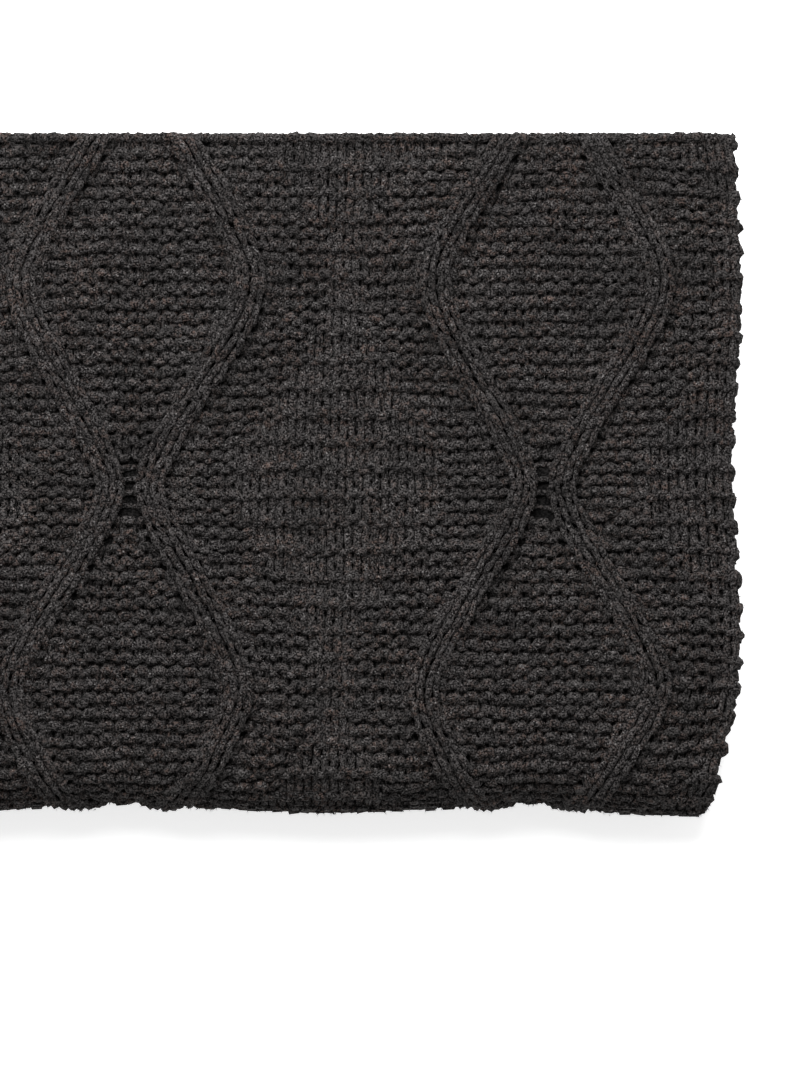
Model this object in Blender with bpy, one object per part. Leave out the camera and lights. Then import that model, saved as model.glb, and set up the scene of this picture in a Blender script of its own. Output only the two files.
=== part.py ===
"""A cable-knit throw blanket, folded: one thick knitted cloth as one solid.

The cloth is folded in half across its width, with that fold on the left and both selvedges on the
right. The two plies are then folded in half twice along their length, so that the outermost layer
runs over the top, round the front fold and along the underside. Metres, +Z up, front towards -Y.
"""

import math
from collections import namedtuple

import bmesh
import bpy

# The folded bundle
BUNDLE_WIDTH = 0.650
BUNDLE_DEPTH = 0.356
CLOTH = 0.0086
GAP = 0.0018
FRONT_BULGE = 0.022
BACK_RECESS = 0.0016
INNER_RECESS = 0.0105
END_RECESS = 0.0035

# The knit: 24 wales by 30 courses to a repeat
REPEAT_WIDTH = 24 * 0.0091
REPEAT_LENGTH = 30 * 0.0072
FIRST_AXIS = 0.106
PINCH_AT = 0.186
PAIRS_ON_TOP = 3
CABLE_NEAR = 0.0105
CABLE_FAR = 0.0605
CABLE_ROUNDING = 0.9
CABLE_RISE = 0.0030
CABLE_SINKS_FROM = 0.45
CABLE_SINKS_TO = 0.95
CABLE_SHOULDER = 0.0058
CABLE_FOOT = 0.0096
SHOULDER_SHARE = 0.78

# How the cloth settles out of a square block
EDGE_ZONE = 0.155
EDGE_WAVE = 0.0021
EDGE_WAVE_LENGTH = 0.192
EDGE_CREST_Y = 0.1033
EDGE_ROUNDING = 0.0022
CORNER_PULL_FROM_Y = -0.105
CORNER_PULL = 0.010
CORNER_ZONE = 0.015
FRONT_ZONE = 0.050
FRONT_WAVE = 0.0024
FRONT_CORNER_BULGE = 0.0024
FRONT_CORNER_FROM = 0.092
FRONT_CORNER_FULL = 0.056
COLUMN_LEAN = 0.028
SIDE_SAG = 0.045
SIDE_SAG_ZONE = 0.060
LEFT_PUFF = 0.0025
LEFT_WAVE_LENGTH = 0.70

# Steps of the mesh
TURN_POINTS = 7
INNER_TURN_POINTS = 5
LAYER_STEP = 0.0144
FINE = 400

RIGHT = BUNDLE_WIDTH / 2
LEFT = -BUNDLE_WIDTH / 2
BACK = BUNDLE_DEPTH / 2
FRONT = -BUNDLE_DEPTH / 2
PLY_MIDDLE = (CLOTH + GAP) / 2
HALF_PAIR = CLOTH + GAP / 2
LAYER_PITCH = 2 * HALF_PAIR + GAP
FRONT_CENTRE = FRONT + FRONT_BULGE + HALF_PAIR
BACK_CENTRE = BACK - BACK_RECESS - LAYER_PITCH / 2 - HALF_PAIR
INNER_CENTRE = FRONT_CENTRE + INNER_RECESS
HEIGHTS = [HALF_PAIR + LAYER_PITCH * layer for layer in range(4)]

# The middle line of the two plies, from the top layer's free end to the inner one. A run goes to
# end_y at its height. A turn bulges by that much to the front (-) or back (+) while it changes
# height. end_cables is how far the cables stand out at the stretch's end, 1 being fully, and
# crest_cables is what that rises by at its middle.
Stretch = namedtuple("Stretch", "name end_y end_z bulge steps end_cables crest_cables")
TOP_STEPS = round(BUNDLE_DEPTH / LAYER_STEP)
STRETCHES = (
    Stretch("top layer", FRONT_CENTRE, HEIGHTS[3], 0, TOP_STEPS, 1, 0),
    Stretch("outer front fold", FRONT_CENTRE, HEIGHTS[0], -FRONT_BULGE, 14, 0, 0),
    Stretch("bottom layer", BACK_CENTRE, HEIGHTS[0], 0, 3, 0, 0),
    Stretch("back fold", BACK_CENTRE, HEIGHTS[1], LAYER_PITCH / 2, 8, 0, 1),
    Stretch("second layer", INNER_CENTRE, HEIGHTS[1], 0, 3, 0, 0),
    Stretch("inner front fold", INNER_CENTRE, HEIGHTS[2], -LAYER_PITCH / 2, 8, 0, 0),
    Stretch("third layer", BACK - END_RECESS, HEIGHTS[2], 0, 3, 0, 0),
)
START_Y = BACK
START_Z = HEIGHTS[3]

Row = namedtuple("Row", "y z normal_y normal_z length cables")


def ease(low, high, value):
    """0 at low, 1 at high, with a smooth start and end."""
    share = min(1.0, max(0.0, (value - low) / (high - low)))
    return share * share * (3 - 2 * share)


def point_on(start_y, start_z, stretch, share):
    """(y, z) on the middle line of a stretch, share of the way along it."""
    if not stretch.bulge:
        return start_y + share * (stretch.end_y - start_y), start_z
    angle = math.pi * share
    middle, half = (start_z + stretch.end_z) / 2, (start_z - stretch.end_z) / 2
    return start_y + stretch.bulge * math.sin(angle), middle + half * math.cos(angle)


def fold_rows():
    """The rows of the loft along the folded middle line, with the length along the outer ply."""
    rows = []
    start_y, start_z, start_cables, length = START_Y, START_Z, 1.0, 0.0
    for stretch in STRETCHES:
        line = [point_on(start_y, start_z, stretch, k / FINE) for k in range(FINE + 1)]
        normals = []
        for k in range(FINE + 1):
            (y0, z0), (y1, z1) = line[max(k - 1, 0)], line[min(k + 1, FINE)]
            step = math.hypot(y1 - y0, z1 - z0)
            normals.append(((z1 - z0) / step, -(y1 - y0) / step))
        if stretch.bulge:
            normals[0] = (0.0, round(normals[0][1]))
            normals[-1] = (0.0, round(normals[-1][1]))
        outer = [
            (y + PLY_MIDDLE * ny, z + PLY_MIDDLE * nz)
            for (y, z), (ny, nz) in zip(line, normals)
        ]
        lengths = [length]
        for before, after in zip(outer, outer[1:]):
            lengths.append(lengths[-1] + math.dist(before, after))
        first = 0 if not rows else 1
        for step in range(first, stretch.steps + 1):
            share = step / stretch.steps
            k = round(share * FINE)
            fade = ease(CABLE_SINKS_FROM, CABLE_SINKS_TO, share)
            cables = start_cables + (stretch.end_cables - start_cables) * fade
            cables += stretch.crest_cables * math.sin(math.pi * share) ** 2
            rows.append(Row(*line[k], *normals[k], lengths[k], cables))
        start_y, start_z = line[-1]
        start_cables, length = stretch.end_cables, lengths[-1]
    return rows


def cable_reach(length):
    """How far a cable's middle lies from its pair's axis, that far along the cloth."""
    swing = math.cos(2 * math.pi * (length - PINCH_AT) / REPEAT_LENGTH)
    share = 0.5 - math.asin(CABLE_ROUNDING * swing) / (2 * math.asin(CABLE_ROUNDING))
    return CABLE_NEAR + (CABLE_FAR - CABLE_NEAR) * share


def outer_face(row):
    """(x, distance from the middle line) across the outer face: over the top, round the fold at
    the left and back along the hidden ply."""
    reach = cable_reach(row.length)
    rise = CABLE_RISE * row.cables
    ridge = (
        (-CABLE_FOOT, 0.0),
        (-CABLE_SHOULDER, SHOULDER_SHARE * rise),
        (0.0, rise),
        (CABLE_SHOULDER, SHOULDER_SHARE * rise),
        (CABLE_FOOT, 0.0),
    )
    half = [(0.0, -EDGE_ROUNDING), (EDGE_ROUNDING, 0.0)]
    for pair in range(PAIRS_ON_TOP):
        axis = FIRST_AXIS + pair * REPEAT_WIDTH
        before = half[-1][0]
        foot = axis - reach - CABLE_FOOT
        for share in (1 / 3, 2 / 3):
            half.append((before + share * (foot - before), 0.0))
        half += [(axis - reach + along, high) for along, high in ridge]
        half.append((axis, 0.0))
        half += [(axis + reach + along, high) for along, high in ridge]
    last = half[-1][0]
    turn_starts = BUNDLE_WIDTH - HALF_PAIR
    half += [(last + share * (turn_starts - last), 0.0) for share in (1 / 3, 2 / 3)]
    across = [(RIGHT - along, HALF_PAIR + high) for along, high in half]
    for k in range(TURN_POINTS):
        angle = math.pi * k / (TURN_POINTS - 1)
        across.append(
            (
                LEFT + HALF_PAIR - HALF_PAIR * math.sin(angle),
                HALF_PAIR * math.cos(angle),
            )
        )
    inward = BUNDLE_WIDTH - HALF_PAIR - EDGE_ROUNDING
    for share in (1 / 3, 2 / 3, 1):
        across.append((LEFT + HALF_PAIR + share * inward, -HALF_PAIR))
    across.append((RIGHT, -HALF_PAIR + EDGE_ROUNDING))
    return across


def inner_face():
    """(x, distance from the middle line) across the face that is folded inwards."""
    slot = GAP / 2
    turn = LEFT + HALF_PAIR
    inward = RIGHT - EDGE_ROUNDING - turn
    across = [(RIGHT, -slot - EDGE_ROUNDING)]
    across += [(turn + share * inward, -slot) for share in (1, 2 / 3, 1 / 3)]
    for k in range(INNER_TURN_POINTS):
        angle = math.pi * k / (INNER_TURN_POINTS - 1)
        across.append((turn - slot * math.sin(angle), -slot * math.cos(angle)))
    across += [(turn + share * inward, slot) for share in (1 / 3, 2 / 3, 1)]
    across.append((RIGHT, slot + EDGE_ROUNDING))
    return across


def settle(x, y, z):
    """The place in the settled bundle of a point of the square one. The underside stays flat."""
    edge = ease(RIGHT - EDGE_ZONE, RIGHT, x)
    wave = math.cos(2 * math.pi * (y - EDGE_CREST_Y) / EDGE_WAVE_LENGTH) - 1
    pull = ease(CORNER_PULL_FROM_Y, FRONT, y)
    front = ease(FRONT + FRONT_ZONE, FRONT, y)
    across = 2 * math.pi * (RIGHT - x - FIRST_AXIS) / REPEAT_WIDTH
    lean = COLUMN_LEAN * y * (1 - edge) * ease(LEFT, LEFT + EDGE_ZONE, x)
    sideways = max(
        ease(RIGHT - SIDE_SAG_ZONE, RIGHT, x), ease(LEFT + SIDE_SAG_ZONE, LEFT, x)
    )
    new_x = x + edge * (EDGE_WAVE * wave - CORNER_PULL * pull) + lean
    puff = LEFT_PUFF * math.sin(2 * math.pi * y / LEFT_WAVE_LENGTH)
    new_x -= puff * ease(LEFT + EDGE_ZONE, LEFT, x)
    corner_bulge = FRONT_CORNER_BULGE * ease(RIGHT - FRONT_CORNER_FROM, RIGHT - FRONT_CORNER_FULL, x)
    new_y = y + front * (FRONT_WAVE * math.cos(across) - corner_bulge)
    corner_x = (x - RIGHT + CORNER_ZONE) / CORNER_ZONE
    corner_y = (FRONT + CORNER_ZONE - y) / CORNER_ZONE
    if corner_x > 0 and corner_y > 0:
        square, round_out = max(corner_x, corner_y), math.hypot(corner_x, corner_y)
        share = square / round_out - 1
        new_x += share * corner_x * CORNER_ZONE
        new_y -= share * corner_y * CORNER_ZONE
    return new_x, new_y, z * (1 - SIDE_SAG * sideways)


def place(row, x, out):
    """A point at x, that far out from the row's place on the middle line."""
    return settle(x, row.y + out * row.normal_y, row.z + out * row.normal_z)


def yarn_finish():
    """Dark charcoal chenille yarn."""
    material = bpy.data.materials.new("charcoal chenille")
    material.use_nodes = True
    shader = material.node_tree.nodes["Principled BSDF"]
    shader.inputs["Base Color"].default_value = (0.030, 0.027, 0.027, 1.0)
    shader.inputs["Roughness"].default_value = 0.95
    shader.inputs["Metallic"].default_value = 0.0
    return material


def folded_throw(collection):
    """The throw as a loft: a closed ring of points at each row along the folded cloth."""
    mesh = bpy.data.meshes.new("throw")
    shape = bmesh.new()
    rings = []
    for row in fold_rows():
        ring = outer_face(row) + inner_face()
        rings.append([shape.verts.new(place(row, x, out)) for x, out in ring])
    for before, after in zip(rings, rings[1:]):
        for k, corner in enumerate(before):
            nearby = (k + 1) % len(before)
            shape.faces.new((corner, after[k], after[nearby], before[nearby]))
    shape.faces.new(rings[0])
    shape.faces.new(rings[-1][::-1])
    bmesh.ops.recalc_face_normals(shape, faces=shape.faces)
    shape.to_mesh(mesh)
    shape.free()
    mesh.shade_smooth()
    mesh.set_sharp_from_angle(angle=math.radians(50))
    mesh.materials.append(yarn_finish())
    throw = bpy.data.objects.new("throw", mesh)
    collection.objects.link(throw)
    return throw


def main():
    for item in list(bpy.data.objects):
        bpy.data.objects.remove(item)
    collection = bpy.data.collections.new("Throw blanket")
    bpy.context.scene.collection.children.link(collection)
    folded_throw(collection)


main()
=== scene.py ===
"""A cable-knit throw, folded into a soft bundle: its yarn, stitch by stitch, and its finish.

Metres, +Z up, the front fold towards -Y, the selvedges towards +X. The cloth is worked out flat, by
three numbers: across from the first selvedge, along from the free end, and out from the middle of
the cloth. lay_in_bundle takes such a point to its place in the folded bundle.
"""

import math
from collections import namedtuple

import bpy
import mathutils
import numpy as np
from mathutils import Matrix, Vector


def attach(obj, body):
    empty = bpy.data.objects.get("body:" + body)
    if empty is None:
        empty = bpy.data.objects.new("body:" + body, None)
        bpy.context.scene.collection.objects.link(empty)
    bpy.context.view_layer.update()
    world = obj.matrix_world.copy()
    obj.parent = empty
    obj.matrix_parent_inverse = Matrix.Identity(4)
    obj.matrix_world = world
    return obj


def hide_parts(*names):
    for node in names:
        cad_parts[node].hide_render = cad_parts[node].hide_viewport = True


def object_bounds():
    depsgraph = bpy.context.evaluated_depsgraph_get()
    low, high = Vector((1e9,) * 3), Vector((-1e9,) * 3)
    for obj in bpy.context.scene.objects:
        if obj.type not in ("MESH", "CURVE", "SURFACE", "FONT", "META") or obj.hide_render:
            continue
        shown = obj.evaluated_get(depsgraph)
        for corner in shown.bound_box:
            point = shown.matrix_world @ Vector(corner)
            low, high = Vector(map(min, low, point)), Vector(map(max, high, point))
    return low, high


bl_info = {
    "name": "Folded Cable-Knit Throw",
    "version": (1, 0, 0),
    "blender": (4, 5, 0),
    "location": "View3D > Sidebar > Throw",
    "description": "Knits a chunky throw blanket yarn by yarn and lays it folded",
    "category": "Object",
}

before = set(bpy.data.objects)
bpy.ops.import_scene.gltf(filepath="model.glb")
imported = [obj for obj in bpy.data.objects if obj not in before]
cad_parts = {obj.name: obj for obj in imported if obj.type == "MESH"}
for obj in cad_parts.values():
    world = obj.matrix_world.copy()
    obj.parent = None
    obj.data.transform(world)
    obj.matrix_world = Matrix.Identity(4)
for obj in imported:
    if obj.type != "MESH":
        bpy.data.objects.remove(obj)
SOLID_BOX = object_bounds()
NODE = "throw"
BODY = "root"

# The folded bundle, as its solid has it
BUNDLE_WIDTH = 0.650
BUNDLE_DEPTH = 0.356
CLOTH = 0.0086
GAP = 0.0018
FRONT_BULGE = 0.022
BACK_RECESS = 0.0016
INNER_RECESS = 0.0105
END_RECESS = 0.0035

# The knit: 24 wales by 30 courses to a repeat, and a pair of cables in each
WALE = 0.0091
COURSE = 0.0072
REPEAT_WIDTH = 24 * WALE
REPEAT_LENGTH = 30 * COURSE
FIRST_AXIS = 0.106
PINCH_AT = 0.186
PAIRS = 6
CABLE_NEAR = 0.0105
CABLE_FAR = 0.0605
CABLE_ROUNDING = 0.9
CABLE_SINKS_FROM = 0.45
CABLE_SINKS_TO = 0.95

# How the cloth settles out of a square block
EDGE_ZONE = 0.155
EDGE_WAVE = 0.0021
EDGE_WAVE_LENGTH = 0.192
EDGE_CREST_Y = 0.1033
CORNER_PULL_FROM_Y = -0.105
CORNER_PULL = 0.010
CORNER_ZONE = 0.015
FRONT_ZONE = 0.050
FRONT_WAVE = 0.0024
FRONT_CORNER_BULGE = 0.0024
FRONT_CORNER_FROM = 0.092
FRONT_CORNER_FULL = 0.056
COLUMN_LEAN = 0.028
SIDE_SAG = 0.045
SIDE_SAG_ZONE = 0.060
TOP_SWELL = 0.008
LEFT_PUFF = 0.0025
LEFT_WAVE_LENGTH = 0.70
SWELL_LENGTH_X = 0.31
SWELL_PHASE_X = 0.17
SWELL_LENGTH_Y = 0.24
SWELL_PHASE_Y = 0.1
SWELL_SLANT = 0.9
RIPPLE = 0.6
RIPPLE_LENGTH_X = 0.12
RIPPLE_LENGTH_Y = 0.19
FINE = 400

RIGHT = BUNDLE_WIDTH / 2
LEFT = -BUNDLE_WIDTH / 2
BACK = BUNDLE_DEPTH / 2
FRONT = -BUNDLE_DEPTH / 2
PLY_MIDDLE = (CLOTH + GAP) / 2
HALF_PAIR = CLOTH + GAP / 2
LAYER_PITCH = 2 * HALF_PAIR + GAP
FRONT_CENTRE = FRONT + FRONT_BULGE + HALF_PAIR
BACK_CENTRE = BACK - BACK_RECESS - LAYER_PITCH / 2 - HALF_PAIR
INNER_CENTRE = FRONT_CENTRE + INNER_RECESS
HEIGHTS = [HALF_PAIR + LAYER_PITCH * layer for layer in range(4)]
SIDE_TURN = BUNDLE_WIDTH - HALF_PAIR
SIDE_TURN_END = SIDE_TURN + math.pi * PLY_MIDDLE
FLAT_WIDTH = SIDE_TURN_END + SIDE_TURN

# The middle line of the two plies, from the top layer's free end to the inner one. A run goes to
# end_y at its height. A turn bulges by that much to the front (-) or back (+) while it changes
# height. end_cables is how far the cables stand out at the stretch's end, 1 being fully, and
# crest_cables is what that rises by at its middle.
Stretch = namedtuple("Stretch", "name end_y end_z bulge end_cables crest_cables")
STRETCHES = (
    Stretch("top layer", FRONT_CENTRE, HEIGHTS[3], 0, 1, 0),
    Stretch("outer front fold", FRONT_CENTRE, HEIGHTS[0], -FRONT_BULGE, 0, 0),
    Stretch("bottom layer", BACK_CENTRE, HEIGHTS[0], 0, 0, 0),
    Stretch("back fold", BACK_CENTRE, HEIGHTS[1], LAYER_PITCH / 2, 0, 1),
    Stretch("second layer", INNER_CENTRE, HEIGHTS[1], 0, 0, 0),
    Stretch("inner front fold", INNER_CENTRE, HEIGHTS[2], -LAYER_PITCH / 2, 0, 0),
    Stretch("third layer", BACK - END_RECESS, HEIGHTS[2], 0, 0, 0),
)

# How far the selvedges (near and far) and side folds stray, and over what length
INNER_FROM = 0.05
STRAY_ZONE = 0.12
NEAR_STRAY = 0.0016
NEAR_STRAY_LENGTH = 0.23
NEAR_STRAY_PHASE = 0.13
FAR_INSET = 0.0022
FAR_STRAY = 0.0018
FAR_STRAY_LENGTH = 0.29
FAR_STRAY_PHASE = 0.33
FOLD_STRAY = 0.0022
FOLD_STRAY_LENGTH = 0.31
FOLD_STRAY_PHASE = 0.06
FOLD_STRAY_ZONE = 0.07

# The photograph's frame on the top of the bundle
PHOTO_SIZE = (800, 1067)
PHOTO_PX_PER_M = 1900
PHOTO_X_OF_MIDDLE = 129
PHOTO_Y_OF_MIDDLE = 471.2

# The studio
KEY_LIGHT_AT = (-0.12, 1.05, 1.65)
KEY_LIGHT_SIZE = 1.7


def ease(low, high, value):
    """0 at low, 1 at high, with a smooth start and end."""
    share = np.clip((value - low) / (high - low), 0, 1)
    return share * share * (3 - 2 * share)


def wave_of(turns):
    return np.sin(2 * math.pi * turns)


def fold_line():
    """The middle line of the two plies in fine steps: its place, its normal, the length along the
    outer ply, and how far the cables stand out. Then the length at each stretch's end."""
    share = np.linspace(0, 1, FINE + 1)
    angle = math.pi * share
    columns = []
    start_y, start_z, start_cables, start_length = BACK, HEIGHTS[3], 1.0, 0.0
    for stretch in STRETCHES:
        if stretch.bulge:
            half = (start_z - stretch.end_z) / 2
            y = start_y + stretch.bulge * np.sin(angle)
            z = (start_z + stretch.end_z) / 2 + half * np.cos(angle)
            step_y, step_z = stretch.bulge * np.cos(angle), -half * np.sin(angle)
        else:
            y = start_y + share * (stretch.end_y - start_y)
            z = start_z + 0 * share
            step_y, step_z = stretch.end_y - start_y + 0 * share, 0 * share
        size = np.hypot(step_y, step_z)
        normal_y, normal_z = step_z / size, -step_y / size
        steps = np.hypot(np.diff(y + PLY_MIDDLE * normal_y), np.diff(z + PLY_MIDDLE * normal_z))
        lengths = start_length + np.concatenate(([0], np.cumsum(steps)))
        fade = ease(CABLE_SINKS_FROM, CABLE_SINKS_TO, share)
        cables = start_cables + (stretch.end_cables - start_cables) * fade
        cables = cables + stretch.crest_cables * np.sin(angle) ** 2
        columns.append(np.array((y, z, normal_y, normal_z, lengths, cables)))
        start_y, start_z, start_cables = y[-1], z[-1], stretch.end_cables
        start_length = lengths[-1]
    ends = [column[4, -1] for column in columns]
    return np.hstack(columns), ends


LINE, STRETCH_ENDS = fold_line()
LINE_Y, LINE_Z, LINE_NORMAL_Y, LINE_NORMAL_Z, LINE_ALONG, LINE_CABLES = LINE
FLAT_LENGTH = LINE_ALONG[-1]
TOP_END, FRONT_FOLD_END, BOTTOM_END, BACK_FOLD_END = STRETCH_ENDS[:4]


def settle(x, y, z):
    """The place in the settled bundle of a point of the square one. The underside stays flat."""
    edge = ease(RIGHT - EDGE_ZONE, RIGHT, x)
    wave = np.cos(2 * math.pi * (y - EDGE_CREST_Y) / EDGE_WAVE_LENGTH) - 1
    pull = ease(CORNER_PULL_FROM_Y, FRONT, y)
    front = ease(FRONT + FRONT_ZONE, FRONT, y)
    across = 2 * math.pi * (RIGHT - x - FIRST_AXIS) / REPEAT_WIDTH
    lean = COLUMN_LEAN * y * (1 - edge) * ease(LEFT, LEFT + EDGE_ZONE, x)
    sideways = np.maximum(
        ease(RIGHT - SIDE_SAG_ZONE, RIGHT, x), ease(LEFT + SIDE_SAG_ZONE, LEFT, x)
    )
    puff = LEFT_PUFF * np.sin(2 * math.pi * y / LEFT_WAVE_LENGTH)
    by_corner = ease(RIGHT - FRONT_CORNER_FROM, RIGHT - FRONT_CORNER_FULL, x)
    corner_bulge = FRONT_CORNER_BULGE * by_corner
    new_x = x + edge * (EDGE_WAVE * wave - CORNER_PULL * pull) + lean
    new_x = new_x - puff * ease(LEFT + EDGE_ZONE, LEFT, x)
    new_y = y + front * (FRONT_WAVE * np.cos(across) - corner_bulge)
    corner_x = np.maximum(0, (x - RIGHT + CORNER_ZONE) / CORNER_ZONE)
    corner_y = np.maximum(0, (FRONT + CORNER_ZONE - y) / CORNER_ZONE)
    round_out = np.maximum(np.hypot(corner_x, corner_y), 1e-6)
    share = np.where(corner_x * corner_y > 0, np.maximum(corner_x, corner_y) / round_out - 1, 0)
    new_x = new_x + share * corner_x * CORNER_ZONE
    new_y = new_y - share * corner_y * CORNER_ZONE
    swell = wave_of(x / SWELL_LENGTH_X + SWELL_PHASE_X)
    swell = swell * wave_of(y / SWELL_LENGTH_Y + x / SWELL_SLANT + SWELL_PHASE_Y)
    swell = swell + RIPPLE * wave_of(x / RIPPLE_LENGTH_X - y / RIPPLE_LENGTH_Y)
    return np.stack((new_x, new_y, z * (1 - SIDE_SAG * sideways + TOP_SWELL * swell)), axis=-1)


def unevenly(across, along):
    """How far the selvedges and side folds of the layers lie in or out of line."""
    inner = ease(FRONT_FOLD_END - INNER_FROM, FRONT_FOLD_END, along)
    near = (1 - ease(0, STRAY_ZONE, across)) * inner
    near = near * NEAR_STRAY * (1 + wave_of(along / NEAR_STRAY_LENGTH + NEAR_STRAY_PHASE))
    far = ease(FLAT_WIDTH - STRAY_ZONE, FLAT_WIDTH, across)
    far_wave = wave_of(along / FAR_STRAY_LENGTH + FAR_STRAY_PHASE)
    far = far * (FAR_INSET + FAR_STRAY * far_wave)
    fold = np.exp(-(((across - SIDE_TURN) / FOLD_STRAY_ZONE) ** 2))
    fold_wave = wave_of(along / FOLD_STRAY_LENGTH + FOLD_STRAY_PHASE)
    fold = fold * FOLD_STRAY * fold_wave * inner
    return fold - near - far


def lay_in_bundle(across, along, out):
    """Places in the folded bundle of points of the flat cloth."""
    angle = np.clip((across - SIDE_TURN) / PLY_MIDDLE, 0, math.pi)
    reach = PLY_MIDDLE + out
    past_turn = np.maximum(0, across - SIDE_TURN_END)
    x = RIGHT - np.minimum(across, SIDE_TURN) - reach * np.sin(angle) + past_turn
    x = x + unevenly(across, along)
    from_middle = reach * np.cos(angle)
    at = np.clip(along, 0, FLAT_LENGTH)
    normal_y = np.interp(at, LINE_ALONG, LINE_NORMAL_Y)
    normal_z = np.interp(at, LINE_ALONG, LINE_NORMAL_Z)
    y = np.interp(at, LINE_ALONG, LINE_Y) + from_middle * normal_y
    z = np.interp(at, LINE_ALONG, LINE_Z) + from_middle * normal_z
    beyond = np.minimum(along, 0) + np.maximum(along - FLAT_LENGTH, 0)
    y = y - beyond * normal_z
    return settle(x, y, z)


# The knit

FIRST_ROW = 0.0070
ROWS = round((FLAT_LENGTH - 2 * FIRST_ROW) / COURSE) + 1
PITCH = (FLAT_LENGTH - 2 * FIRST_ROW) / (ROWS - 1)
COLUMNS_BEFORE_AXIS = 11
COLUMNS = 141
WALES_IN_REPEAT = 24
CABLE_HALF_WIDTH = 1.2
LEAST_ROOM = 0.8
BESIDE_CABLE = ((0.8, 1.8, 2.8, 4.0), (1.2, 1.75, 2.85, 4.0))
LEAN_STEP = 0.002
LOOP_SQUARENESS = 0.1
STRETCHED_UP_TO = 0.24 * math.pi
GARTER_FROM_CABLE = 4.7 * WALE
GARTER_AT_SELVEDGE = 0.0185
CABLE_SQUEEZE = 0.14
CABLE_FINER = 0.20
SQUEEZE_THINS = 0.7
CABLE_DEEPER = 1.3
CABLE_DOME = 1.22
FOOT_PROUD = 0.0006
FOOT_FULLER = 0.07
LEG_FINER = 0.19
GROOVE_AT = 1.32
GROOVE_WIDTH = 0.32
FRONT_FULLNESS = 0.0013
FRONT_CABLES_SINK = 0.25
RUNG_FROM_AXIS = (0.003, 0.0065)
RUNG_RISE = 0.0005
RUNG_FINER = 0.05
OUT_WOBBLE = 0.6
ROW_SWAY = 0.0008
STEADY_END = 0.03
SWAY_LENGTHS = (0.083, 0.21)
SECOND_SWAY_LENGTHS = (0.19, 0.13)
SECOND_SWAY_PHASE = 0.3
FINE_SWAY = 0.6
FINE_SWAY_LENGTHS = (0.043, 0.075)
FINE_SWAY_PHASE = 0.7
UNEVEN_HEIGHT = 0.07
UNEVEN_GIRTH = 0.05
LUMPY_GIRTH = 0.06
ROW_DRAG = 0.0048
DRAG_FROM = -1.2 * WALE
DRAG_FULL = 1.5 * WALE
DRAG_TO = 7.5 * WALE
SELVEDGE_GATHER = 0.0020
SELVEDGE_TURN_INSET = 0.0007
SELVEDGE_DRAWN = 0.045
SELVEDGE_FULLY_DRAWN = 0.008
SELVEDGE_SHIFT = 0.0026
FAR_SELVEDGE_SHIFT = 0.0044
SELVEDGE_ZONE = 0.009
EDGE_COLUMNS = 2.6 * WALE
PAST_FOLD = SIDE_TURN_END + 1.6 * WALE
BEFORE_FOLD = SIDE_TURN - 1.2 * WALE
JUST_PAST_FOLD = SIDE_TURN_END + 1.2 * WALE

# The cords of the free ends: all but the inset is in thicknesses of the yarn
CORD_INSET = 0.003
CORD_SWING_OUT = 0.38
CORD_SWING_ALONG = 0.16
CORD_GIRTH = 0.8
FIRST_CORD = 0.43
LAST_CORD = 0.5

# The inside of the cloth, behind the loops, and how dark it is painted, as shade deep in the knit
CLOTH_INSIDE = -0.0034
CLOTH_THICKNESS = 0.0016
CLOTH_INSET = 0.0042
PAINTED_SHADE_INSIDE = 0.25
PAINTED_SHADE_TONE_INSIDE = 0.3

# How finely the yarn is made: points to a loop, and sides
LOOP_POINTS = 10
EDGE_POINTS = 8
HIDDEN_POINTS = 6
YARN_SIDES = 5
HIDDEN_YARN_SIDES = 4

# The yarn on the floor, its heather (how much, and over how many points) and its loose pile
RESTS_AT = 0.49
REST_GAP = 0.0002
FLOOR_GAP = 0.0001
LONG_TONE = (0.16, 14)
SHORT_TONE = (0.10, 4)
WARMTH = (0.30, 9)
PROBE = 0.001
FRONT_OF_CLOTH = (-0.0005, 0.0022)
FACES_OUT = (0.1, 0.8)
TOP_FIBRES = 42000
FRONT_FIBRES = 14000
FIBRE_SPREAD = 0.55
FIBRE_SCATTER = 0.0007
FIBRE_ROOT = 0.0006
FIBRE_SHORTEST = 0.6
FIBRE_LONGER = 0.8
FIBRE_TONES = (0.5, 1.0)
FIBRE_WARMTHS = (0.2, 0.9)


def row_at(number):
    """How far along the cloth a course lies."""
    return FIRST_ROW + PITCH * number


def row_near(along):
    """The number of the even course nearest to there."""
    return 2 * round((along - FIRST_ROW) / PITCH / 2)


TOP_MIDDLE_ROW = row_near(TOP_END / 2)
TOP_LAST_ROW = row_near(TOP_END) + 2
FRONT_LAST_ROW = row_near(FRONT_FOLD_END) + 4
UNDERSIDE_LAST_ROW = row_near(BOTTOM_END)
BACK_LAST_ROW = row_near(BACK_FOLD_END) + 6


def cable_reach(along):
    """How far a cable's middle lies from its pair's axis, that far along the cloth."""
    swing = np.cos(2 * math.pi * (along - PINCH_AT) / REPEAT_LENGTH)
    share = 0.5 - np.arcsin(CABLE_ROUNDING * swing) / (2 * math.asin(CABLE_ROUNDING))
    return CABLE_NEAR + (CABLE_FAR - CABLE_NEAR) * share


def cable_lean(along):
    """How fast a cable moves away from its pair's axis."""
    ahead, behind = cable_reach(along + LEAN_STEP), cable_reach(along - LEAN_STEP)
    return (ahead - behind) / (2 * LEAN_STEP)


def at_pinch(along):
    """1 where two cables touch, 0 away from there."""
    return (0.5 + 0.5 * np.cos(2 * math.pi * (along - PINCH_AT) / REPEAT_LENGTH)) ** 8


def pair_axes():
    return FIRST_AXIS + REPEAT_WIDTH * np.arange(PAIRS)


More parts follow.
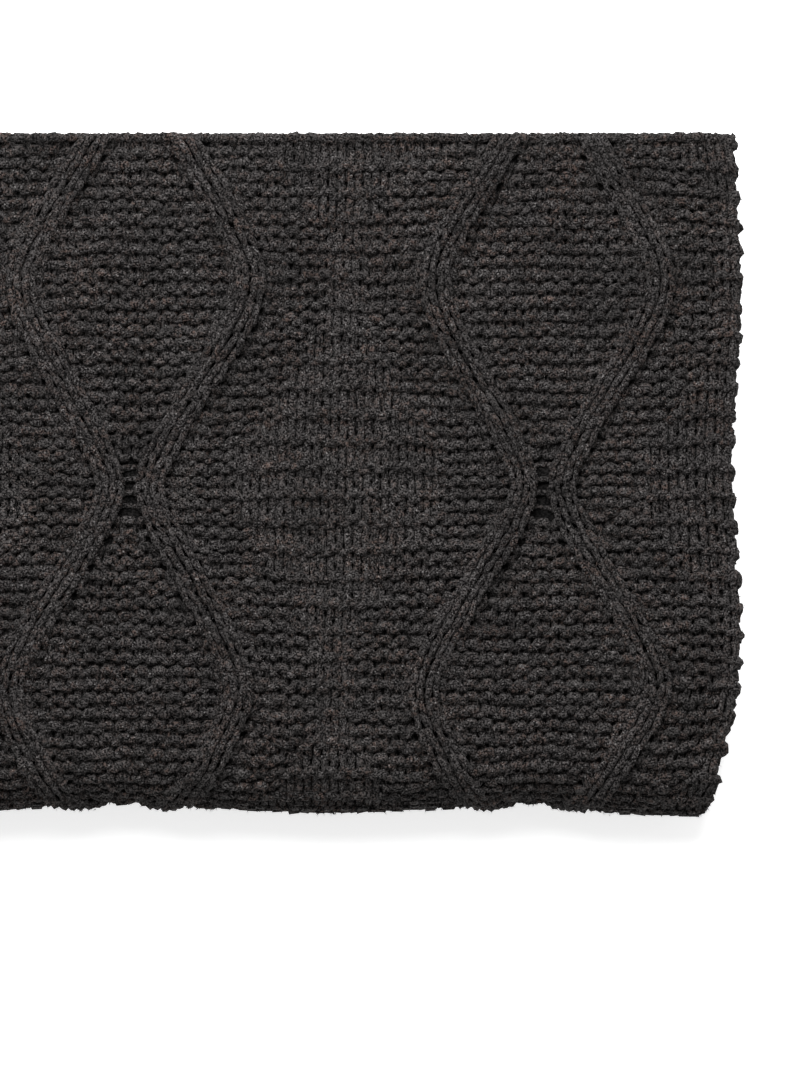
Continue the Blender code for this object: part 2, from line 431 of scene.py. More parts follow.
def ground_place(from_axis, reach):
    """How far a wale of the ground lies from its pair's axis where the cables are that far out,
    all in wales: it makes room for the cable that it lies beside."""
    beyond = reach + np.interp(from_axis - reach, *BESIDE_CABLE)
    outermost = np.maximum(outermost_within(reach), 0.5)
    within = from_axis * np.minimum(1, (reach - CABLE_HALF_WIDTH) / outermost)
    return np.where(from_axis < reach, within, np.maximum(beyond, from_axis))


def fits_within(from_axis, reach):
    """Whether a wale that far from the axis has room between a pair's cables."""
    room = reach - CABLE_HALF_WIDTH
    return (reach - from_axis >= LEAST_ROOM) & (room >= LEAST_ROOM * from_axis)


def outermost_within(reach):
    """The outermost wale that has room between a pair's cables, or 0."""
    outermost = 0 * reach
    for wale in np.arange(0.5, CABLE_FAR / WALE):
        outermost = np.where(fits_within(wale, reach), wale, outermost)
    return outermost


def columns_of_row(along):
    """The wales that a course crosses, in order: the pair whose axis is nearest, the signed
    distance from it in wales, and for a cable's two wales the side of its middle, or else 0."""
    reach = cable_reach(along) / WALE
    columns = []
    for number in range(-COLUMNS_BEFORE_AXIS, COLUMNS - COLUMNS_BEFORE_AXIS):
        pair = round((number + 0.5) / WALES_IN_REPEAT)
        from_axis = number + 0.5 - WALES_IN_REPEAT * pair
        distance = abs(from_axis)
        if distance - reach >= LEAST_ROOM or fits_within(distance, reach):
            columns.append((pair, from_axis, 0))
    for pair in range(PAIRS):
        for cable in (-reach, reach):
            columns += [(pair, cable, -1), (pair, cable, 1)]
    columns = np.array(columns)
    order = np.argsort(columns[:, 0] * WALES_IN_REPEAT + columns[:, 1] + 0.5 * columns[:, 2])
    return columns[order].T


def stitch_kind(across, along, number, in_cable):
    """1 for a purl stitch, whose loops lie in front, and -1 for a knit one, whose legs do."""
    from_axis = np.abs(across[:, None] - pair_axes()[None, :]).min(axis=1)
    garter = from_axis - cable_reach(along) > GARTER_FROM_CABLE
    from_selvedge = np.minimum(across, FLAT_WIDTH - across)
    garter |= from_selvedge < GARTER_AT_SELVEDGE
    kind = np.where(garter & (number % 2 == 1), -1.0, 1.0)
    return np.where(in_cable, -1.0, kind)


def inside_ends(along):
    """1 away from the free ends, where the courses lie straight."""
    return ease(0, STEADY_END, along) * ease(FLAT_LENGTH, FLAT_LENGTH - STEADY_END, along)


def row_drag(across, along):
    """How far the travelling cables drag the courses outside them."""
    from_axis = np.abs(across[..., None] - pair_axes()).min(axis=-1)
    outside = from_axis - cable_reach(along)
    share = ease(DRAG_FROM, DRAG_FULL, outside) * (1 - ease(DRAG_FULL, DRAG_TO, outside))
    return -ROW_DRAG * cable_lean(along) * share * inside_ends(along)


def sway(across, along):
    """How far the courses stray from straight lines, as hand-tensioned ones do."""
    waves = wave_of(across / SWAY_LENGTHS[0] + along / SWAY_LENGTHS[1])
    second = across / SECOND_SWAY_LENGTHS[0] - along / SECOND_SWAY_LENGTHS[1]
    fine = across / FINE_SWAY_LENGTHS[0] - along / FINE_SWAY_LENGTHS[1]
    waves = waves * wave_of(second + SECOND_SWAY_PHASE)
    waves = waves + FINE_SWAY * wave_of(fine + FINE_SWAY_PHASE)
    return ROW_SWAY * waves * inside_ends(along)


def loops_across(centres, squeeze, in_cable, t, knit):
    """Where across the cloth the points of a course's loops lie, round the middles of their wales.
    t is 0 at one foot of a loop, pi at its head and 2 pi at the other foot."""
    before = np.vstack((2 * centres[:1] - centres[1:2], centres[:-1]))
    after = np.vstack((centres[1:], 2 * centres[-1:] - centres[-2:-1]))
    to_edge = np.where((t < math.pi)[None, :], before - centres, after - centres) / 2
    from_foot = np.minimum(t, 2 * math.pi - t)
    half_width = np.where(in_cable[:, None], squeeze, 1) * WALE / 2
    stretched = np.maximum(0, np.abs(to_edge) - half_width)
    loop = (np.abs(to_edge) - stretched) * (1 - from_foot / math.pi)[None, :]
    loop = loop + stretched * (1 - ease(0, STRETCHED_UP_TO, from_foot))[None, :]
    lean = np.where(in_cable, knit.cable_lean, knit.loop_lean)[:, None]
    return centres + np.sign(to_edge) * loop + lean * np.sin(2 * t)[None, :]


def kind_in_loops(places, number, in_cable, t):
    """The kind of stitch at each point of a course's loops: its own, partly the next wale's at the
    feet, and the next course's at the head."""
    along = row_at(number)
    lower = stitch_kind(places, along, number, in_cable)
    upper = stitch_kind(places, along + PITCH, number + 1, in_cable)
    before, after = np.roll(lower, 1)[:, None], np.roll(lower, -1)[:, None]
    next_door = np.where((t < math.pi)[None, :], before, after)
    from_foot = np.minimum(t, 2 * math.pi - t)
    foot = np.maximum(0, 0.5 - from_foot / (math.pi / 2))[None, :]
    head = ease(math.pi * 3 / 8, math.pi * 5 / 8, from_foot)[None, :]
    kind = lower[:, None] * (1 - foot) + next_door * foot
    return kind * (1 - head) + upper[:, None] * head


def course(number, low, high, knit, samples):
    """The yarn of one course between two places across the flat cloth: its points (across, along,
    out), and how thick it is at each."""
    along = row_at(number)
    pair, from_axis, side = columns_of_row(along)
    in_cable = side != 0
    axis = (FIRST_AXIS + REPEAT_WIDTH * pair)[:, None]
    places = axis[:, 0] + WALE * (from_axis + 0.5 * side)
    count = len(places)
    steps = (np.arange(samples) + 0.5) / samples
    t = 2 * math.pi * steps
    rng = np.random.default_rng(1000 + number)
    position = np.arange(count)[:, None] + steps[None, :] - 0.5

    def uneven(amount):
        return np.interp(position, np.arange(count), amount * rng.standard_normal(count))

    # Where the loops lie along and across
    height = knit.loop_height * (PITCH / COURSE) * (1 + uneven(UNEVEN_HEIGHT))
    sweep = (np.cos(t) - LOOP_SQUARENESS * np.cos(3 * t)) / (1 - LOOP_SQUARENESS)
    row_along = along - height * sweep[None, :]
    reach = cable_reach(row_along)
    squeeze = 1 - CABLE_SQUEEZE * at_pinch(row_along)
    hand = np.sign(from_axis)[:, None]
    ground = hand * WALE * ground_place(np.abs(from_axis)[:, None], reach / WALE)
    cable = hand * reach + side[:, None] * squeeze * WALE / 2
    centres = axis + np.where(in_cable[:, None], cable, ground)
    across = loops_across(centres, squeeze, in_cable, t, knit)

    # How far they pass in front of the cloth or behind it
    kind = kind_in_loops(places, number, in_cable, t)
    depth = knit.loop_depth * np.where(in_cable, CABLE_DEEPER, 1)[:, None]
    out = depth * kind * np.cos(2 * t)[None, :] + knit.ridge * kind
    in_ground = np.where(in_cable, 0, 1)[:, None]
    feet = in_ground * np.maximum(kind, 0) * np.cos(t)[None, :]
    legs = in_ground * np.maximum(-kind, 0)
    to_front = np.maximum(0, -np.interp(row_along, LINE_ALONG, LINE_NORMAL_Y))
    out = out + FOOT_PROUD * (1 - to_front) * feet
    out = out + knit.row_step * in_ground * (1 if number % 2 else -1)

    # The raised cables, and the rungs between them
    from_line = np.abs(np.abs(across - axis) - reach) / (WALE * squeeze)
    dome = np.sqrt(np.maximum(0, 1 - (from_line / CABLE_DOME) ** 2))
    groove = np.exp(-(((from_line - GROOVE_AT) / GROOVE_WIDTH) ** 2))
    outer_ply = 1 - ease(SIDE_TURN - WALE, SIDE_TURN, across)
    swell = np.interp(row_along, LINE_ALONG, LINE_CABLES) * outer_ply
    swell = swell * (1 - FRONT_CABLES_SINK * to_front)
    out = out + swell * (knit.cable_rise * dome - knit.groove * groove)
    out = out + FRONT_FULLNESS * to_front
    pair_distance = np.abs(across[..., None] - pair_axes()).min(axis=-1)
    rung = (1 - ease(*RUNG_FROM_AXIS, pair_distance)) * at_pinch(row_along)
    out = out + RUNG_RISE * rung

    # How thick the yarn is
    drawn = np.where(in_cable[:, None], (1 - CABLE_FINER) * squeeze ** SQUEEZE_THINS, 1)
    drawn = drawn * (1 - RUNG_FINER * rung)
    girth = drawn * (1 + FOOT_FULLER * feet - LEG_FINER * legs) * (1 + uneven(UNEVEN_GIRTH))
    girth = girth * (1 + LUMPY_GIRTH * rng.standard_normal(across.shape))

    # How the hand and the cables pull the courses out of line
    row_along = row_along + row_drag(across, row_along) * outer_ply + uneven(knit.wobble)
    row_along = row_along + sway(across, row_along)
    to_near = 1 - ease(SELVEDGE_FULLY_DRAWN, SELVEDGE_DRAWN, across)
    to_far = ease(SELVEDGE_DRAWN, SELVEDGE_FULLY_DRAWN, FLAT_WIDTH - across)
    across = across - SELVEDGE_SHIFT * to_near + FAR_SELVEDGE_SHIFT * to_far + uneven(knit.wobble)
    out = out + uneven(OUT_WOBBLE * knit.wobble)
    columns = np.flatnonzero((places > low) & (places < high))
    first = columns[0] * samples
    last = min((columns[-1] + 1) * samples + 1, count * samples)
    points = np.stack((across.ravel(), row_along.ravel(), out.ravel(), girth.ravel()), axis=-1)
    return points[first:last]


def selvedge_turn(end, start, reach):
    """The yarn's turn at a selvedge, from one course's end to the next one's start."""
    angle = np.linspace(0, math.pi, 7)[1:-1]
    share = (1 - np.cos(angle)) / 2
    turn = end[None, :] + (start - end)[None, :] * share[:, None]
    turn[:, 0] += reach * np.sin(angle)
    return turn


def gather(points, edge, shift):
    """A course whose last stitches are drawn towards the neighbour that it turns into."""
    near = 1 - ease(0, SELVEDGE_ZONE, np.abs(points[:, 0] - edge))
    gathered = points.copy()
    gathered[:, 1] += near * shift
    return gathered


def knit_rows(first, last, low, high, knit, samples, selvedge=None):
    """Runs of yarn for the courses from first up to last, between two places across. At the near
    or far selvedge, courses join by twos."""
    runs = []
    for number in range(first, last, 2):
        if selvedge is None or number + 1 >= last:
            both = range(number, min(number + 2, last))
            runs += [course(row, low, high, knit, samples) for row in both]
            continue
        upper = course(number, low, high, knit, samples)
        lower = course(number + 1, low, high, knit, samples)
        edge = 0 if selvedge == "near" else FLAT_WIDTH
        upper = gather(upper, edge, SELVEDGE_GATHER)
        lower = gather(lower, edge, -SELVEDGE_GATHER)
        if selvedge == "near":
            upper = upper[::-1]
        else:
            lower = lower[::-1]
        inset = knit.yarn / 2 + SELVEDGE_TURN_INSET
        outermost = edge + (inset if selvedge == "near" else -inset)
        turn = selvedge_turn(upper[-1], lower[0], outermost - (upper[-1, 0] + lower[0, 0]) / 2)
        runs.append(np.vstack((upper, turn, lower)))
    return runs


def edge_cord(low, high, along, knit, samples):
    """The two twisted strands of the edge that the first or last course hangs on."""
    steps = int(round((high - low) / WALE * samples))
    across = np.linspace(low, high, steps)
    runs = []
    for phase in (0, math.pi):
        angle = 2 * math.pi * across / WALE + phase
        out = CORD_SWING_OUT * knit.yarn * np.cos(angle)
        place = along + CORD_SWING_ALONG * knit.yarn * np.sin(angle)
        runs.append(np.stack((across, place, out, CORD_GIRTH + 0 * across), axis=-1))
    return runs


def smooth_noise(rng, length, amount, step):
    """Noise of that amount that changes over step points, one value for each point."""
    knots = rng.standard_normal(length // step + 3)
    places = np.arange(length) / step + rng.random()
    return amount * np.interp(places, np.arange(len(knots)), knots)


def points_and_normals(mesh):
    """The place and the normal of each point of a mesh."""
    points, normals = np.empty((2, 3 * len(mesh.vertices)))
    mesh.vertices.foreach_get("co", points)
    mesh.vertex_normals.foreach_get("vector", normals)
    return points.reshape(-1, 3), normals.reshape(-1, 3)


def store(mesh, name, values):
    """Keeps one value for each point of a mesh, for its material."""
    mesh.attributes.new(name, "FLOAT", "POINT").data.foreach_set("value", values)


def face_outwards():
    """Turns the faces of the active mesh outwards and shades it smooth."""
    bpy.ops.object.mode_set(mode="EDIT")
    bpy.ops.mesh.select_all(action="SELECT")
    bpy.ops.mesh.normals_make_consistent(inside=False)
    bpy.ops.object.mode_set(mode="OBJECT")
    bpy.ops.object.shade_smooth()


def roughen(mesh, rng, amount):
    """Moves every point in or out a little, as the pile of chenille is never even."""
    points, normals = points_and_normals(mesh)
    points += (amount * rng.standard_normal(len(points)))[:, None] * normals
    points[:, 2] = np.maximum(points[:, 2], FLOOR_GAP)
    mesh.vertices.foreach_set("co", points.ravel())
    mesh.update()


def lay_runs(curve, runs, yarn, sides, rng):
    """Adds a spline in the bundle for each run of yarn. Gives, for every point of the tube's mesh,
    its tone, its warmth, the way out of the cloth, and how far in front of the cloth it is."""
    tones, warmths, outward, heights = [], [], [], []
    for run in runs:
        places = lay_in_bundle(*run[:, :3].T)
        places[:, 2] = np.maximum(places[:, 2], RESTS_AT * yarn * run[:, 3] + REST_GAP)
        spline = curve.splines.new("POLY")
        spline.points.add(len(run) - 1)
        spline.points.foreach_set("co", np.column_stack((places, np.ones(len(run)))).ravel())
        spline.points.foreach_set("radius", run[:, 3])
        above = lay_in_bundle(run[:, 0], run[:, 1], run[:, 2] + PROBE)
        outward.append(np.repeat((above - places) / PROBE, sides, axis=0))
        heights.append(np.repeat(ease(*FRONT_OF_CLOTH, run[:, 2]), sides))
        tone = 0.5 + smooth_noise(rng, len(run), *LONG_TONE)
        tone = tone + smooth_noise(rng, len(run), *SHORT_TONE)
        tones.append(np.repeat(tone, sides))
        warmths.append(np.repeat(0.5 + smooth_noise(rng, len(run), *WARMTH), sides))
    return [np.concatenate(values) for values in (tones, warmths, outward, heights)]


def spin_yarn(context, name, runs, sides, seed, finish, fibres=0):
    """Makes one piece from runs of yarn: a tube along each, laid in the bundle. With fibres, a
    second piece has that many loose ends of its pile."""
    knit = context.scene.throw_knit
    bpy.ops.object.select_all(action="DESELECT")
    bpy.ops.mesh.primitive_circle_add(vertices=sides, radius=knit.yarn / 2)
    bpy.ops.object.convert(target="CURVE")
    section = context.object
    curve = bpy.data.curves.new(name, "CURVE")
    curve.dimensions = "3D"
    curve.bevel_mode = "OBJECT"
    curve.bevel_object = section
    rng = np.random.default_rng(seed)
    tones, warmths, outward, heights = lay_runs(curve, runs, knit.yarn, sides, rng)
    yarn = bpy.data.objects.new(name, curve)
    context.collection.objects.link(yarn)
    bpy.ops.object.select_all(action="DESELECT")
    yarn.select_set(True)
    context.view_layer.objects.active = yarn
    bpy.ops.object.convert(target="MESH")
    bpy.data.objects.remove(section)
    store(yarn.data, "tone", np.clip(tones, 0, 1))
    store(yarn.data, "warmth", np.clip(warmths, 0, 1))
    roughen(yarn.data, rng, knit.fuzz)
    if fibres:
        pile_name = name.replace("knit", "pile")
        loose_fibres(context, pile_name, yarn, outward, heights, fibres, seed + 100, finish)
        context.view_layer.objects.active = yarn
    bpy.ops.object.mode_set(mode="EDIT")
    bpy.ops.mesh.select_all(action="SELECT")
    bpy.ops.mesh.fill_holes(sides=sides)
    bpy.ops.object.mode_set(mode="OBJECT")
    face_outwards()
    yarn.data.materials.clear()
    yarn.data.materials.append(finish)
    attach(yarn, BODY)


def loose_fibres(context, name, yarn, outward, height, count, seed, finish):
    """Makes one piece from the loose ends of the pile that stand off a piece of the knit: slivers
    that start where the yarn is highest and faces out of the bundle."""
    knit = context.scene.throw_knit
    points, normals = points_and_normals(yarn.data)
    chance = height * ease(*FACES_OUT, (outward * normals).sum(axis=1))
    rng = np.random.default_rng(seed)
    chosen = rng.choice(len(points), count, p=chance / chance.sum())
    direction = normals[chosen] + FIBRE_SPREAD * rng.standard_normal((count, 3))
    direction /= np.linalg.norm(direction, axis=1)[:, None]
    sideways = np.cross(direction, rng.standard_normal((count, 3)))
    sideways *= 0.5 * knit.fibre_width / np.linalg.norm(sideways, axis=1)[:, None]
    longer = (FIBRE_SHORTEST + FIBRE_LONGER * rng.random(count))[:, None]
    length = knit.fibre_length * longer
    shift = FIBRE_SCATTER * rng.standard_normal((count, 3))
    shift -= (shift * normals[chosen]).sum(axis=1)[:, None] * normals[chosen]
    root = points[chosen] + shift - FIBRE_ROOT * normals[chosen]
    corners = np.stack((root - sideways, root + sideways, root + direction * length), axis=1)
    corners = corners.reshape(-1, 3)
    corners[:, 2] = np.maximum(corners[:, 2], FLOOR_GAP)
    slivers = bpy.data.meshes.new(name)
    slivers.from_pydata(corners.tolist(), [], np.arange(3 * count).reshape(-1, 3).tolist())
    store(slivers, "tone", np.repeat(rng.uniform(*FIBRE_TONES, count), 3))
    store(slivers, "warmth", np.repeat(rng.uniform(*FIBRE_WARMTHS, count), 3))
    slivers.materials.append(finish)
    fibres = bpy.data.objects.new(name, slivers)
    context.collection.objects.link(fibres)
    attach(fibres, BODY)


# Finishes

def chenille_group():
    """Heathered chenille: its colour, with painted shade in its pile, and the height of its pile."""
    group = bpy.data.node_groups.get("chenille")
    if group:
        return group
    group = bpy.data.node_groups.new("chenille", "ShaderNodeTree")
    for name, kind in (
        ("Tone", "NodeSocketFloat"),
        ("Warmth", "NodeSocketFloat"),
        ("Colour", "NodeSocketColor"),
        ("Brown", "NodeSocketColor"),
        ("Fleck", "NodeSocketColor"),
    ):
        group.interface.new_socket(name, in_out="INPUT", socket_type=kind)
    group.interface.new_socket("Colour", in_out="OUTPUT", socket_type="NodeSocketColor")
    group.interface.new_socket("Pile", in_out="OUTPUT", socket_type="NodeSocketFloat")
    nodes, links = group.nodes, group.links
    entry = nodes.new("NodeGroupInput")
    leave = nodes.new("NodeGroupOutput")
    place = nodes.new("ShaderNodeTexCoord").outputs["Object"]

    def noise(scale, detail):
        node = nodes.new("ShaderNodeTexNoise")
        node.inputs["Scale"].default_value = scale
        node.inputs["Detail"].default_value = detail
        links.new(place, node.inputs["Vector"])
        return node.outputs["Fac"]

    def span(value, low, high, to_low, to_high):
        node = nodes.new("ShaderNodeMapRange")
        node.inputs["From Min"].default_value = low
        node.inputs["From Max"].default_value = high
        node.inputs["To Min"].default_value = to_low
        node.inputs["To Max"].default_value = to_high
        links.new(value, node.inputs["Value"])
        return node.outputs["Result"]

    def times(first, second):
        node = nodes.new("ShaderNodeMath")
        node.operation = "MULTIPLY"
        links.new(first, node.inputs[0])
        links.new(second, node.inputs[1])
        return node.outputs["Value"]

    def blend(mask, first, second):
        node = nodes.new("ShaderNodeMix")
        node.data_type = "RGBA"
        links.new(mask, node.inputs["Factor"])
        links.new(first, node.inputs["A"])
        links.new(second, node.inputs["B"])
        return node.outputs["Result"]

    def shaded(colour, shade):
        node = nodes.new("ShaderNodeVectorMath")
        node.operation = "SCALE"
        links.new(colour, node.inputs["Vector"])
        links.new(shade, node.inputs["Scale"])
        return node.outputs["Vector"]

    pile = noise(980, 1.0)
    warmth = span(entry.outputs["Warmth"], 0.35, 1, 0, 1)
    brownness = times(span(noise(420, 2), 0.42, 0.66, 0.0, 1.5), warmth)
    flecks = span(noise(1100, 0), 0.66, 0.76, 0.0, 0.6)
    # Colour darker where the pile's bump sinks and lighter where it stands: painted shade and
    # highlight, times each yarn's own tone
    shade = times(span(pile, 0.42, 0.60, 0.0, 2.75), span(entry.outputs["Tone"], 0, 1, 0.62, 1.42))
    shade = times(shade, span(noise(28, 2), 0.3, 0.7, 0.88, 1.12))
    ground = blend(brownness, entry.outputs["Colour"], entry.outputs["Brown"])
    ground = blend(flecks, ground, entry.outputs["Fleck"])
    links.new(shaded(ground, shade), leave.inputs["Colour"])
    links.new(pile, leave.inputs["Pile"])
    return group


def chenille(name, colour, brown, fleck, bump):
    """A material of the heathered yarn in its own colours."""
    material = bpy.data.materials.new(name)
    material.use_nodes = True
    nodes, links = material.node_tree.nodes, material.node_tree.links
    shader = nodes["Principled BSDF"]
    heather = nodes.new("ShaderNodeGroup")
    heather.node_tree = chenille_group()
    for attribute_name, socket in (("tone", "Tone"), ("warmth", "Warmth")):
        attribute = nodes.new("ShaderNodeAttribute")
        attribute.attribute_name = attribute_name
        links.new(attribute.outputs["Fac"], heather.inputs[socket])
    for socket, value in (("Colour", colour), ("Brown", brown), ("Fleck", fleck)):
        heather.inputs[socket].default_value = (*value, 1)
    links.new(heather.outputs["Colour"], shader.inputs["Base Color"])
    raise_pile = nodes.new("ShaderNodeBump")
    raise_pile.inputs["Strength"].default_value = bump
    raise_pile.inputs["Distance"].default_value = 0.0008
    links.new(heather.outputs["Pile"], raise_pile.inputs["Height"])
    links.new(raise_pile.outputs["Normal"], shader.inputs["Normal"])
    shader.inputs["Roughness"].default_value = 0.95
    shader.inputs["Specular IOR Level"].default_value = 0.08
    shader.inputs["Sheen Weight"].default_value = 0.03
    shader.inputs["Sheen Roughness"].default_value = 0.6
    shader.inputs["Sheen Tint"].default_value = (0.5, 0.48, 0.47, 1)
    return material


def yarn_finish(context):
    finish = context.scene.throw_finish
    return bpy.data.materials.get("charcoal_yarn") or chenille(
        "charcoal_yarn", finish.yarn_colour, finish.brown_colour, finish.fleck_colour, finish.pile
    )


class ThrowKnit(bpy.types.PropertyGroup):
    """The size of the yarn and its loops."""

    yarn: bpy.props.FloatProperty(
        name="Yarn", description="Thickness of the yarn", default=0.0050, unit="LENGTH")
    loop_height: bpy.props.FloatProperty(
        name="Loop height", description="How far a loop reaches from its course's middle",
        default=0.0048, unit="LENGTH")
    loop_lean: bpy.props.FloatProperty(
        name="Loop lean", description="How far a loop's legs lean together",
        default=0.0014, unit="LENGTH")
    cable_lean: bpy.props.FloatProperty(
        name="Cable lean", description="How far the legs in a cable lean together",
        default=0.0016, unit="LENGTH")
    fuzz: bpy.props.FloatProperty(
        name="Fuzz", description="How uneven the pile of the yarn is",
        default=0.00034, unit="LENGTH")
    fibre_length: bpy.props.FloatProperty(
        name="Fibre length", description="How long the loose ends of the pile are",
        default=0.0017, unit="LENGTH")
    fibre_width: bpy.props.FloatProperty(
        name="Fibre width", description="How wide a tuft of loose pile is at its root",
        default=0.00050, unit="LENGTH")
    loop_depth: bpy.props.FloatProperty(
        name="Loop depth", description="How far a loop passes in front of the next",
        default=0.0019, unit="LENGTH")
    ridge: bpy.props.FloatProperty(
        name="Ridge", description="How far purl stitches stand above knit ones",
        default=0.0004, unit="LENGTH")
    row_step: bpy.props.FloatProperty(
        name="Row step", description="How far every second course stands up",
        default=0.00025, unit="LENGTH")
    cable_rise: bpy.props.FloatProperty(
        name="Cable rise", description="How far the cables stand above the ground",
        default=0.0044, unit="LENGTH")
    groove: bpy.props.FloatProperty(
        name="Groove", description="How far the ground sinks beside a cable",
        default=0.0022, unit="LENGTH")
    wobble: bpy.props.FloatProperty(
        name="Wobble", description="How uneven the stitches are",
        default=0.00040, unit="LENGTH")


class ThrowFinish(bpy.types.PropertyGroup):
    """The colours of the yarn."""

    yarn_colour: bpy.props.FloatVectorProperty(
        name="Yarn", description="Charcoal of the yarn", default=(0.0126, 0.0116, 0.0114),
        subtype="COLOR")
    brown_colour: bpy.props.FloatVectorProperty(
        name="Brown", description="Brown fibres in the heather", default=(0.0170, 0.0120, 0.0103),
        subtype="COLOR")
    fleck_colour: bpy.props.FloatVectorProperty(
        name="Fleck", description="Pale fibres in the heather", default=(0.050, 0.048, 0.047),
        subtype="COLOR")
    pile: bpy.props.FloatProperty(
        name="Pile", description="How rough the pile is", default=0.9, min=0, max=1,
        subtype="FACTOR")


class ThrowStudio(bpy.types.PropertyGroup):
    """The floor and the lights."""

    floor_size: bpy.props.FloatProperty(
        name="Floor", description="Width of the floor", default=8, unit="LENGTH")
    floor_glow: bpy.props.FloatProperty(
        name="Floor glow", description="Light that comes up through the paper", default=0.60)
    key_power: bpy.props.FloatProperty(
        name="Key light", description="Power of the main light", default=103, unit="POWER")
    sky: bpy.props.FloatProperty(
        name="Sky", description="Brightness of the light all round", default=0.475)
    camera_height: bpy.props.FloatProperty(
        name="Camera height", description="Camera above the top of the bundle", default=5,
        unit="LENGTH")


class THROW_OT_top(bpy.types.Operator):
    """Knits the face that lies on top, in two pieces."""

    bl_idname = "throw.top"
    bl_label = "Top"

    def execute(self, context):
        knit, finish = context.scene.throw_knit, yarn_finish(context)
        runs = knit_rows(0, TOP_MIDDLE_ROW, 0, PAST_FOLD, knit, LOOP_POINTS, "near")
        runs += edge_cord(CORD_INSET, PAST_FOLD, FIRST_CORD * knit.yarn, knit, EDGE_POINTS)
        spin_yarn(context, "top_knit_back", runs, YARN_SIDES, 1, finish, TOP_FIBRES)
        runs = knit_rows(TOP_MIDDLE_ROW, TOP_LAST_ROW, 0, PAST_FOLD, knit, LOOP_POINTS, "near")
        spin_yarn(context, "top_knit_front", runs, YARN_SIDES, 2, finish, TOP_FIBRES)
        return {"FINISHED"}


class THROW_OT_front_fold(bpy.types.Operator):
    """Knits the fold at the front."""

    bl_idname = "throw.front_fold"
    bl_label = "Front fold"

    def execute(self, context):
        knit, finish = context.scene.throw_knit, yarn_finish(context)
        runs = knit_rows(TOP_LAST_ROW, FRONT_LAST_ROW, 0, PAST_FOLD, knit, LOOP_POINTS, "near")
        spin_yarn(context, "front_fold_knit", runs, YARN_SIDES, 3, finish, FRONT_FIBRES)
        return {"FINISHED"}


class THROW_OT_underside(bpy.types.Operator):
    """Knits the underside, and the fold at the back that it turns up into."""

    bl_idname = "throw.underside"
    bl_label = "Underside"

    def execute(self, context):
        knit, finish = context.scene.throw_knit, yarn_finish(context)
        runs = knit_rows(FRONT_LAST_ROW, UNDERSIDE_LAST_ROW, 0, PAST_FOLD, knit, HIDDEN_POINTS, "near")
        spin_yarn(context, "underside_knit", runs, HIDDEN_YARN_SIDES, 4, finish)
        runs = knit_rows(UNDERSIDE_LAST_ROW, BACK_LAST_ROW, 0, PAST_FOLD, knit, EDGE_POINTS, "near")
        spin_yarn(context, "back_fold_knit", runs, YARN_SIDES, 5, finish)
        return {"FINISHED"}


class THROW_OT_edges(bpy.types.Operator):
    """Knits what shows of the inner layers: selvedges, side folds and free ends."""

    bl_idname = "throw.edges"
    bl_label = "Inner edges"

    def execute(self, context):
        knit, finish = context.scene.throw_knit, yarn_finish(context)
        runs = knit_rows(BACK_LAST_ROW, ROWS, 0, EDGE_COLUMNS, knit, EDGE_POINTS, "near")
        spin_yarn(context, "near_selvedge_knit", runs, YARN_SIDES, 6, finish)
        runs = knit_rows(1, ROWS, FLAT_WIDTH - EDGE_COLUMNS, FLAT_WIDTH, knit, EDGE_POINTS, "far")
        spin_yarn(context, "far_selvedge_knit", runs, YARN_SIDES, 7, finish)
        runs = knit_rows(BACK_LAST_ROW, ROWS, BEFORE_FOLD, JUST_PAST_FOLD, knit, EDGE_POINTS)
        spin_yarn(context, "side_fold_knit", runs, YARN_SIDES, 8, finish)
        low, high = PAST_FOLD, FLAT_WIDTH - EDGE_COLUMNS
        runs = knit_rows(0, 2, low, high, knit, EDGE_POINTS)
        cord_end = FLAT_WIDTH - CORD_INSET
        runs += edge_cord(low, cord_end, FIRST_CORD * knit.yarn, knit, EDGE_POINTS)
        runs += knit_rows(ROWS - 3, ROWS, EDGE_COLUMNS, BEFORE_FOLD, knit, EDGE_POINTS)
        runs += knit_rows(ROWS - 3, ROWS, JUST_PAST_FOLD, high, knit, EDGE_POINTS)
        last_cord = FLAT_LENGTH - LAST_CORD * knit.yarn
        runs += edge_cord(CORD_INSET, cord_end, last_cord, knit, EDGE_POINTS)
        spin_yarn(context, "free_end_knit", runs, YARN_SIDES, 9, finish)
        return {"FINISHED"}


def grid_places(stops, steps):
    """Places from stop to stop, with that many steps in each stretch."""
    parts = [np.linspace(a, b, n, endpoint=False) for a, b, n in zip(stops, stops[1:], steps)]
    return np.append(np.concatenate(parts), stops[-1])


